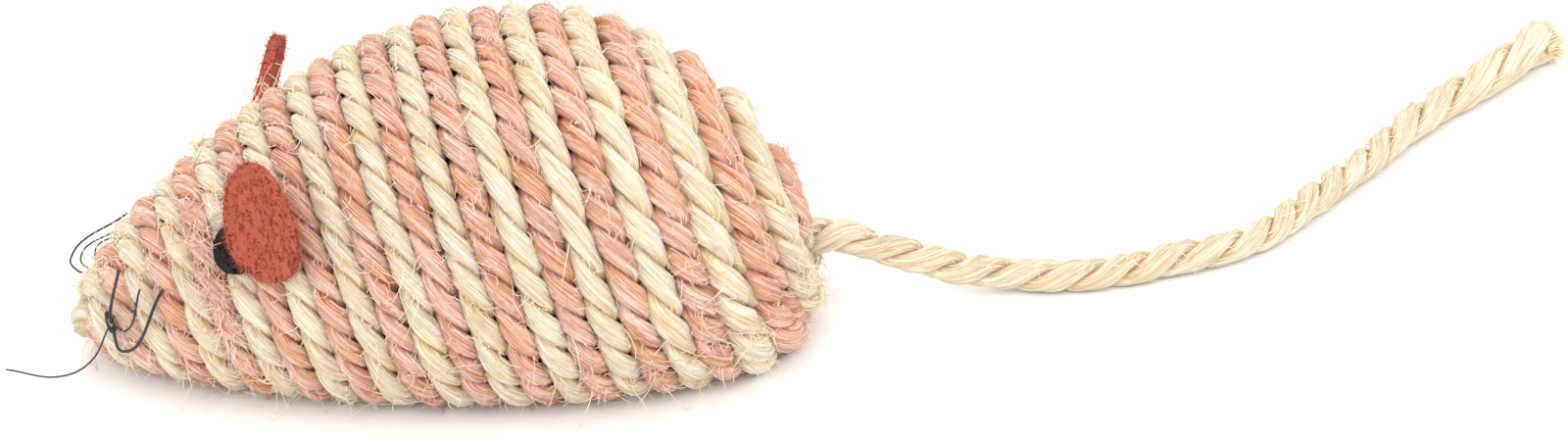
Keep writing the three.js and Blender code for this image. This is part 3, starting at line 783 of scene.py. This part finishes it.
ropeKinds = {
    "natural": {"skin": naturalSisal, "stray": naturalFibre, "strand": naturalStrand,
                "seed": 0.4, "hairs": 1500},
    "pink": {"skin": pinkSisal, "stray": pinkFibre, "strand": pinkStrand, "seed": 2.1, "hairs": 1300},
}


def roomAlongForm():
    # distance from the nose at each sample, on the side of the ring where the turns lie closest
    samples, angles = winding["samples"], winding["sampleAngles"]
    step = 0.5 / samples
    room = [0]
    for i in range(samples):
        share = (i + 0.5) / samples
        closest = 1
        for k in range(angles):
            angle = 2 * pi * k / angles
            along = rawPoint(share + step, angle) - rawPoint(share - step, angle)
            around = (rawPoint(share, angle + step) - rawPoint(share, angle - step)).normalized()
            closest = min(closest, along.cross(around).length)
        room.append(room[-1] + closest)
    return room


def spiral():
    # how far a rope has turned at each step, its place along the form there, and the steps of half a turn
    room = roomAlongForm()
    samples, whole = winding["samples"], room[-1]
    climb = (winding["width"] + winding["gap"]) / pi
    noseOffset = form["cordRadius"] + winding["endGap"]
    tailOffset = tail["diameter"] / 2 + winding["endGap"] + form["cordRadius"]

    def joinAngle(offset):
        steep = climb / offset
        return asin((sqrt(1 + 4 * steep ** 2) - 1) / (2 * steep))

    noseJoin, tailJoin = joinAngle(noseOffset), joinAngle(tailOffset)
    noseRun, tailRun = noseOffset / cos(noseJoin), tailOffset / cos(tailJoin)
    climbing = (whole - noseRun - tailRun) / climb
    full = noseJoin + climbing + tailJoin

    def shareAt(turned):
        if turned < noseJoin:
            distance = noseOffset / cos(turned)
        elif turned > noseJoin + climbing:
            distance = whole - tailOffset / cos(full - turned)
        else:
            distance = noseRun + climb * (turned - noseJoin)
        i = 1
        while i < samples and room[i] < distance:
            i += 1
        return (i - 1 + (distance - room[i - 1]) / (room[i] - room[i - 1])) / samples

    steps = ceil(full / (2 * pi) * winding["stepsPerTurn"])
    turns = [full * i / steps for i in range(steps + 1)]
    return turns, [shareAt(t) for t in turns], round(steps * pi / full)


def windingRoutes():
    # the two laid ropes, half a turn apart, and then the two of the lower layer between them
    turns, shares, half = spiral()
    routes = []
    for quarter in (0, 2, 1, 3):
        start = radians(winding["firstAngle"] + 90 * quarter)
        middles = [formPoint(s, start - t) for s, t in zip(shares, turns)]
        outs = [formNormal(s, start - t) for s, t in zip(shares, turns)]
        radii = []
        for i, t in enumerate(turns):
            room = [(formPoint(shares[j], start - t) - middles[i]).length
                    for j in (i - half, i + half) if 0 <= j < len(turns)]
            width = sum(room) / len(room) * winding["fullness"]
            radii.append(min(max(width, winding["thinnest"]), winding["thickest"]) / 2)
        routes.append((middles, outs, radii))
    return routes


def laidLine(kind, route):
    middles, outs, radii = route
    last = len(middles) - 1
    line = []
    for i, (middle, out, radius) in enumerate(zip(middles, outs, radii)):
        # a thicker rope sits further out, so that it doesn't sink into the core
        rumpward = (i / last) ** winding["riseCurve"]
        middle = middle + out * (radius - form["cordRadius"]) * winding["rise"] * rumpward
        noseward = max(0, 1 - i / last / winding["snoutEnd"])
        middle = middle - out * winding["snoutTrim"] * noseward * max(0, out.z)
        if kind == "pink":
            middle = middle - out * winding["tuck"] * max(0, 1 - i / winding["tuckSteps"])
        line.append(middle)
    return line


def buildLaidRope(kind, look, route):
    outs, radii = route[1:]
    middles = laidLine(kind, route)
    seed, hairs, slot = look["seed"], look["hairs"], kind + "_sisal"
    lays = [winding["lay"][kind]] * len(middles)
    wound = ropeObject("sisal_rope_" + kind, kind, middles, outs, radii, lays, seed,
                       floor=winding["floor"], between=True)
    finishPiece(wound, look["skin"], "mouse_body")
    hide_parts("sisal_wrap_" + kind)
    laid = middles, outs, radii
    loose = looseFibres("sisal_hairs_" + kind, laid, hairs, int(seed * 10), windingFibres["hairLength"],
                        clumps=windingFibres["clumps"])
    finishPiece(loose, look["stray"], "mouse_body")
    fuzz = looseFibres("sisal_fuzz_" + kind, laid, 2 * hairs, int(seed * 30), windingFibres["fuzzLength"],
                       shortest=0.4, curl=0.5)
    finishPiece(fuzz, look["stray"], "mouse_body")
    bundles = surfaceStrands("sisal_strands_" + kind, "sisal_rope_" + kind, int(seed * 70))
    finishPiece(bundles, look["strand"], "mouse_body")
    print("rope", kind, "turns", len(middles) / winding["stepsPerTurn"],
          "thickness", round(min(radii) * 2000, 2), round(max(radii) * 2000, 2))
    return laid


def buildTuft(laid):
    # fibres have come loose in front of the near eye
    worn = slice(*windingFibres["tuftRings"])
    tuft = looseFibres("sisal_tuft_pink", [part[worn] for part in laid], windingFibres["tuftFibres"],
                       windingFibres["tuftSeed"], windingFibres["tuftLength"], shortest=0.5, curl=0.42)
    finishPiece(tuft, pinkFibre, "mouse_body")


def buildLowerLayer(kind, look, route):
    perTurn = winding["stepsPerTurn"]
    part = slice(-round(lowerLayer["turns"] * perTurn), -round(lowerLayer["end"] * perTurn))
    middles, outs = route[0][part], route[1][part]
    count = len(middles)
    line = [m - o * lowerLayer["sink"] * (1 - lowerLayer["easing"] * i / count)
            for i, (m, o) in enumerate(zip(middles, outs))]
    fill = ropeObject("sisal_fill_" + kind, kind, line, outs, [lowerLayer["radius"]] * count,
                      [winding["lay"][kind]] * count, look["seed"] + 4, floor=winding["floor"], between=True)
    finishPiece(fill, look["skin"], "mouse_body")


def buildNoseEnd():
    # the natural cord's first end comes out in the middle of the nose
    out = (formPoint(0.0001, 0) - formPoint(0.02, 0)).normalized()
    tip = formPoint(0, 0)
    line = [tip + out * noseEnd["step"] * (i - noseEnd["inside"]) for i in range(noseEnd["steps"])]
    count = len(line)
    end = ropeObject("sisal_nose_end", "natural", line, upsAlong(line), [noseEnd["radius"]] * count,
                     [noseEnd["lay"]] * count, noseEnd["seed"])
    finishPiece(end, naturalSisal, "mouse_body")


def buildCollar():
    # the natural cord's last end lies once round the tail's root
    pole = tailRoot - Vector((form["tailStart"] - collar["rise"], 0, 0))
    reach = tail["diameter"] / 2 + collar["radius"]
    near, growth = collar["opening"]
    count = collar["steps"] + 1
    line = []
    for i in range(count):
        angle = radians(collar["turn"] * i / collar["steps"] + collar["start"])
        around = Vector((0, cos(angle), sin(angle)))
        line.append(pole + around * reach * (near + growth * i / collar["steps"]))
    ring = ropeObject("sisal_tail_collar", "natural", line, [Vector((1, 0, 0))] * count,
                      [collar["radius"]] * count, [collar["lay"]] * count, collar["seed"])
    finishPiece(ring, naturalSisal, "mouse_body")


routes = windingRoutes()
laidRopes = [buildLaidRope(kind, look, route) for (kind, look), route in zip(ropeKinds.items(), routes)]
buildTuft(laidRopes[1])
for (kind, look), route in zip(ropeKinds.items(), routes[2:]):
    buildLowerLayer(kind, look, route)
buildNoseEnd()
buildCollar()
print("windings made")


# The ears

ears = {
    "left": {"share": 0.301, "angle": 26.6, "lift": 0.0021, "lean": -15.5, "tip": 18.4, "twist": -10,
             "body": "left_ear", "cup": 0.0011},
    "right": {"share": 0.288, "angle": 12.6, "lift": 0.0031, "lean": -43.5, "tip": 19.6, "twist": -46,
              "body": "right_ear", "cup": 0.0008},
}
earShape = {
    "length": 0.0179, "width": 0.0111, "thick": 0.0017, "widest": 0.36, "sides": 64,
    "rings": (0.0004, 0.0009, 0.0012, 0.0012),  # inwards from the cut edge
    "cutEdge": 0.00035, "cupStretch": 1.3,  # the cup is longer than it is wide
    "wave": (0.00035, 260),  # height, and waves in a metre
    "rag": (0.00022, 500, 200),  # of the cut edge: width, and waves along and across
    "hairs": 1400, "hairLength": 0.0012,
}


def earPlace(ear, side):
    origin, out, up, back = crestFrame(ear["share"], ear["angle"], side, ear["lift"])
    base = Matrix((back * -side, up, out)).transposed().to_4x4()
    turn = Matrix.Rotation(radians(ear["lean"]) * -side, 4, "Z")
    tip = Matrix.Rotation(radians(ear["tip"]), 4, "X")
    twist = Matrix.Rotation(radians(ear["twist"]) * -side, 4, "Y")
    return Matrix.Translation(origin) @ base @ turn @ tip @ twist


def earSheet(name, side, cup):
    # the cut piece of felt, flat but for its cup and waves
    bm = bmesh.new()
    bmesh.ops.create_circle(bm, cap_ends=True, segments=earShape["sides"], radius=1)
    length, width = earShape["length"], earShape["width"]
    middle = length * earShape["widest"]
    for v in bm.verts:
        high = length - middle if v.co.y > 0 else middle
        v.co = Vector((v.co.x * width / 2, middle + v.co.y * high, 0))
    sheet = bm.faces[:]
    for depth in earShape["rings"]:
        bmesh.ops.inset_region(bm, faces=sheet, thickness=depth, depth=0)
    bmesh.ops.poke(bm, faces=sheet)
    height, waves = earShape["wave"]
    rag, ragAlong, ragAcross = earShape["rag"]
    for v in bm.verts:
        wave = waver(v.co.x * waves, v.co.y * waves, side * 4)
        edge = min(1, (v.co.x / width * 2) ** 2 + ((v.co.y - middle) / middle / earShape["cupStretch"]) ** 2)
        v.co.z = cup * (edge - 0.5) + wave * height
        v.co.x += waver(v.co.y * ragAlong, side, v.co.x * ragAcross) * rag
    bmesh.ops.recalc_face_normals(bm, faces=bm.faces[:])
    return newObject("felt_ear_" + name, meshFrom(bm, "felt_ear_" + name))


def buildEar(name, side):
    ear = ears[name]
    sheet = earSheet(name, side, ear["cup"])
    wall = sheet.modifiers.new("thickness", "SOLIDIFY")
    wall.thickness = earShape["thick"]
    wall.offset = 0
    bevel = sheet.modifiers.new("cutEdge", "BEVEL")
    bevel.width = earShape["cutEdge"]
    bevel.segments = 2
    bevel.limit_method = "ANGLE"
    soft = sheet.modifiers.new("soft", "SUBSURF")
    soft.levels = soft.render_levels = 1
    mesh = appliedMesh(sheet)
    mesh.transform(earPlace(ear, side))
    felt = newObject("felt_ear_" + name, mesh)
    finishPiece(felt, redFelt, ear["body"])
    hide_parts("ear_" + name)
    hairs = feltHairs("felt_ear_hairs_" + name, felt, earShape["hairs"], earShape["hairLength"], 7 + side)
    finishPiece(hairs, litFeltFuzz, ear["body"])


feltWisps = {
    "radius": 0.00004, "stand": (0.15, 0.8), "slant": 0.5, "unequal": (0.3, 1), "curl": 0.3, "steps": 3,
}


def feltHairs(name, felt, number, longest, seed):
    # short wisps that stand off the felt
    pick = random.Random(seed)
    polygons = felt.data.polygons
    lines = []
    for _ in range(number):
        face = polygons[pick.randrange(len(polygons))]
        place = face.center.copy()
        heading = face.normal * pick.uniform(*feltWisps["stand"]) + anyWay(pick) * feltWisps["slant"]
        heading.normalize()
        line = []
        for _ in range(feltWisps["steps"] + 1):
            line.append(place)
            place = place + heading * longest * pick.uniform(*feltWisps["unequal"]) / feltWisps["steps"]
            heading = (heading + anyWay(pick) * feltWisps["curl"]).normalized()
        lines.append(line)
    return curveMesh(name, lines, feltWisps["radius"], thin=0.4)


buildEar("left", -1)
buildEar("right", 1)
print("ears made")


# The eyes and the hot glue

eyes = {
    "places": {"left": (0.00703, 130), "right": (0.0066, 132)},  # from the ear: distance and direction
    "diameter": 0.0067, "thick": 0.0013, "sides": 40,
    "seatGap": 0.0003, "seatLift": 0.4,  # of the gap, above the cords' crests
    "side": 0.6,  # share of the thickness that is upright; the rings round off the rest
    "rings": ((0.0003, 0.2), (0.0006, 0.1), (0.001, 0.1)),
    "roughness": (0.00016, 700, 500),  # height, and waves in a metre across and up
    "hairs": 160, "hairLength": 0.0008,
}
glue = {
    "beadAngle": 112, "bead": 0.0026, "beadThick": 0.0009,
    "pads": {"left": (0.0023, 40), "right": (0.0037, 74)}, "pad": 0.0044, "padThick": 0.00045,
    "lumps": (0.16, 420), "flatness": 2.4, "spread": 1.04,
}


def beside(share, angle, side, distance, direction):
    # the place at a distance along the surface, in a direction from the tail side upwards
    step = 0.001
    here = crestFrame(share, angle, side, 0)[0]
    perShare = (crestFrame(share + step, angle, side, 0)[0] - here).length / step
    perDegree = (crestFrame(share, angle + 1, side, 0)[0] - here).length
    turn = radians(direction)
    return share + distance * cos(turn) / perShare, angle + distance * sin(turn) / perDegree


def seatMatrix(place, side, lift):
    origin, out, up = crestFrame(*place, side, lift)[:3]
    return Matrix.Translation(origin) @ Matrix((up.cross(out), up, out)).transposed().to_4x4()


def eyePlace(name, side):
    return beside(ears[name]["share"], ears[name]["angle"], side, *eyes["places"][name])


def buildEye(name, side):
    bm = bmesh.new()
    radius, high = eyes["diameter"] / 2, eyes["thick"] * eyes["side"]
    bmesh.ops.create_cone(bm, cap_ends=True, segments=eyes["sides"], radius1=radius, radius2=radius,
                          depth=high, matrix=Matrix.Translation((0, 0, high / 2)))
    top = [max(bm.faces, key=lambda face: face.calc_center_median().z)]
    for depth, rise in eyes["rings"]:
        bmesh.ops.inset_region(bm, faces=top, thickness=depth, depth=0)
        bmesh.ops.translate(bm, verts=top[0].verts[:], vec=(0, 0, eyes["thick"] * rise))
    bmesh.ops.poke(bm, faces=top)
    roughness, waves, upWaves = eyes["roughness"]
    for v in bm.verts:
        across = noise.noise(v.co * waves)
        along = noise.noise(v.co * waves + Vector((9, 0, 0)))
        v.co += Vector((across, along, noise.noise(v.co * upWaves) * 0.5)) * roughness
    bmesh.ops.recalc_face_normals(bm, faces=bm.faces[:])
    mesh = meshFrom(bm, "felt_eye_" + name)
    mesh.transform(seatMatrix(eyePlace(name, side), side, eyes["seatGap"] * eyes["seatLift"]))
    eye = newObject("felt_eye_" + name, mesh)
    finishPiece(eye, blackFelt, "mouse_body")
    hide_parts("eye_" + name)
    hairs = feltHairs("felt_eye_hairs_" + name, eye, eyes["hairs"], eyes["hairLength"], 21 + side)
    finishPiece(hairs, blackFelt, "mouse_body")


def buildGlue(name, node, place, side, diameter, thick, seed):
    lump, lumpWaves = glue["lumps"]
    bm = bmesh.new()
    bmesh.ops.create_icosphere(bm, subdivisions=4, radius=diameter / 2)
    for v in bm.verts:
        v.co *= 1 + lump * noise.noise(v.co * lumpWaves + Vector((seed, 0, 0)))
    flat = (glue["spread"], glue["spread"], thick * glue["flatness"] / diameter)
    bmesh.ops.scale(bm, verts=bm.verts[:], vec=flat)
    mesh = meshFrom(bm, name)
    mesh.transform(seatMatrix(place, side, 0))
    blob = newObject(name, mesh)
    finishPiece(blob, hotGlue, "mouse_body")
    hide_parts(node)


for name, side in (("left", -1), ("right", 1)):
    buildEye(name, side)
    toBead = (eyes["diameter"] + glue["bead"]) / 2 + eyes["seatGap"]
    bead = beside(*eyePlace(name, side), side, toBead, glue["beadAngle"])
    buildGlue("glue_bead_" + name, "glue_eye_" + name, bead, side, glue["bead"], glue["beadThick"], 1 + side)
    pad = beside(ears[name]["share"], ears[name]["angle"], side, *glue["pads"][name])
    buildGlue("glue_film_" + name, "glue_ear_" + name, pad, side, glue["pad"], glue["padThick"], 5 + side)
print("eyes and glue made")


# The whiskers, of black thread

whiskers = {
    "length": 0.01, "knot": 0.0018, "seatGap": 0.0003,
    "root": 0.3,  # where a thread starts, in knot sizes from the knot's middle
    "threads": {"left": (0.00044, 0.0003, 0.00044, 0.00026), "right": (0.0003, 0.00026, 0.00026)},
    "places": {"left": (0.118, 23, 0.00075), "right": (0.109, 4.5, 0)},  # along the form, round it, sunk
    "left": [  # each thread's bends, in lengths: back, away from the mouse, up
        [(0.02, 0.25, 0.4), (0.16, 0.15, 0.92)],
        [(0.2, 0.24, 0.02), (0.42, 0.3, 0.68)],
        [(0.14, 0.34, -0.24), (0.72, 0.42, 0.72)],
        [(-0.3, 0.36, -0.36), (-0.68, 0.48, -0.48), (-1.42, 0.55, -0.28)]],
    "right": [
        [(-0.4, 0.34, -0.06), (-0.46, 0.5, 0.02), (0.36, 0.8, 0.52)],
        [(-0.32, 0.36, 0.1), (0.28, 0.64, 0.4)],
        [(-0.1, 0.36, 0.24), (0.26, 0.5, 0.36)]],
    "loops": (  # of the knot, in its sizes: height, width, rise
        (0.72, 0.34, 0), (0.66, 0.26, 0), (0.5, 0.2, 0),
        (0.2, 0.16, 0.72), (0.16, 0.2, 0.72), (0.12, 0.12, 0.75)),
    "loopTurns": (0.35, 0.12),  # from each loop to the next, in radians
    "loopSteps": 16,
}


def buildWhiskers(name, side):
    share, angle, sink = whiskers["places"][name]
    size, long, thick = whiskers["knot"], whiskers["length"], whiskers["threads"][name]
    origin, out, up, back = crestFrame(share, angle, side, whiskers["seatGap"] + size / 2 - sink)
    for i, bends in enumerate(whiskers[name]):
        points = [origin + Vector((x, y * side, z)) * long for x, y, z in bends]
        root = origin + (points[0] - origin).normalized() * size * whiskers["root"]
        number = f"{name}_{i + 1}"
        thread = curveMesh("thread_" + number, [[root] + points], thick[i] / 2, sides=2, curved=True)
        finishPiece(thread, blackThread, "mouse_body")
        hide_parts("whisker_" + number)
    upTurn, outTurn = whiskers["loopTurns"]
    loops = []
    for turn, (high, wide, rise) in enumerate(whiskers["loops"]):
        tilt = Matrix.Rotation(turn * upTurn, 3, up) @ Matrix.Rotation(turn * outTurn, 3, out)
        ring = []
        for k in range(whiskers["loopSteps"] + 1):
            a = 2 * pi * k / whiskers["loopSteps"]
            around = tilt @ (up * cos(a) * high + back * sin(a) * wide)
            ring.append(origin + (around + up * rise) * size)
        loops.append(ring)
    knot = curveMesh("thread_knot_" + name, loops, thick[1] / 2, thin=1, sides=2)
    finishPiece(knot, blackThread, "mouse_body")
    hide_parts("whisker_knot_" + name)


buildWhiskers("left", -1)
buildWhiskers("right", 1)
print("whiskers made")


# The inside: core, filling, and the tail's stopper knot

heap = {"cuts": 3, "merge": 0.00001, "shrink": 0.0004, "crumbs": (0.0006, 600)}
stopper = {
    "turns": 3, "thick": 0.00125, "lay": 0.006, "steps": 149, "seed": 5.2,
    "stubStep": 0.0004, "stubStart": 0.0003, "stubSeed": 3.4,
    "stubEnd": 0.0008,  # past the form's end
}


def dressCore():
    # painted shade: the shells' dark brown shows as shade in the gaps between the turns
    for node in ("core_shell_left", "core_shell_right"):
        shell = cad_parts[node]
        shell.data.materials.clear()
        shell.data.materials.append(shadedCorePlastic)


def buildHeap():
    crumb, waves = heap["crumbs"]
    bm = bmesh.new()
    bm.from_mesh(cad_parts["catnip_filling"].data)
    bmesh.ops.remove_doubles(bm, verts=bm.verts[:], dist=heap["merge"])
    bmesh.ops.subdivide_edges(bm, edges=bm.edges[:], cuts=heap["cuts"], use_grid_fill=True)
    bmesh.ops.recalc_face_normals(bm, faces=bm.faces[:])
    for v in bm.verts:
        v.co -= v.normal * (heap["shrink"] + crumb * abs(noise.noise(v.co * waves)))
    leaves = newObject("catnip_heap", meshFrom(bm, "catnip_heap"))
    finishPiece(leaves, catnipLeaf, "mouse_body")
    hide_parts("catnip_filling")


def buildStopper():
    # the tail runs in through the rump and is wrapped on itself behind the wall
    low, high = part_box("tail_knot")
    pole = tailRoot - Vector((form["tailStart"], 0, 0))
    step, start = stopper["stubStep"], low.x + stopper["stubStart"]
    count = int((pole.x + stopper["stubEnd"] - low.x) / step)
    line = [Vector((start + step * i, pole.y, pole.z)) for i in range(count)]
    stub = ropeObject("tail_stub", "tail", line, upsAlong(line), [tail["diameter"] / 2] * count,
                      [tail["lay"]] * count, stopper["stubSeed"])
    finishPiece(stub, tailSisal, "mouse_body")
    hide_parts("tail_knot")
    coil, outs = [], []
    thick, steps, height = stopper["thick"], stopper["steps"], high.z - low.z
    for i in range(steps + 1):
        a = 2 * pi * stopper["turns"] * i / steps
        out = Vector((0, cos(a), sin(a)))
        outs.append(out)
        along = low.x + thick + (height - 2 * thick) * i / steps
        coil.append(Vector((along, pole.y, pole.z)) + out * (height / 2 - thick))
    knot = ropeObject("tail_stopper_knot", "tail", coil, outs, [thick] * len(coil),
                      [stopper["lay"]] * len(coil), stopper["seed"])
    finishPiece(knot, tailSisal, "mouse_body")


dressCore()
buildHeap()
buildStopper()
print("inside made")


# The floor and the light

studio = {
    "floorSize": 4, "floorTone": (0.9, 0.9, 0.9, 1), "floorRoughness": 0.9, "world": 1.08,
    "lamps": (  # place, size, watts
        ((-0.6, -1.1, 1.1), 0.9, 11),
        ((0.9, -0.6, 1.1), 0.9, 7),
        ((0.1, 0.9, 1.4), 1.0, 6.2)),
}


def buildFloor():
    bm = bmesh.new()
    bmesh.ops.create_grid(bm, x_segments=1, y_segments=1, size=studio["floorSize"])
    mesh = meshFrom(bm, "floor")
    material, tree, shader = startMaterial("whiteFloor")
    setInputs(tree, shader, {"Base Color": studio["floorTone"], "Roughness": studio["floorRoughness"]})
    mesh.materials.append(material)
    newObject("floor", mesh)


def buildLight():
    world = bpy.data.worlds.new("studio")
    bpy.context.scene.world = world
    world.use_nodes = True
    tree = world.node_tree
    setInputs(tree, tree.nodes["Background"], {"Color": white, "Strength": studio["world"]})
    for place, size, watts in studio["lamps"]:
        lamp = bpy.data.lights.new("softLamp", "AREA")
        lamp.size = size
        lamp.energy = watts
        place = Vector(place)
        turn = place.to_track_quat("Z", "Y").to_matrix().to_4x4()
        newObject("softLamp", lamp).matrix_world = Matrix.Translation(place) @ turn


buildFloor()
buildLight()
bpy.context.scene.view_settings.view_transform = "Standard"
print("stage set")
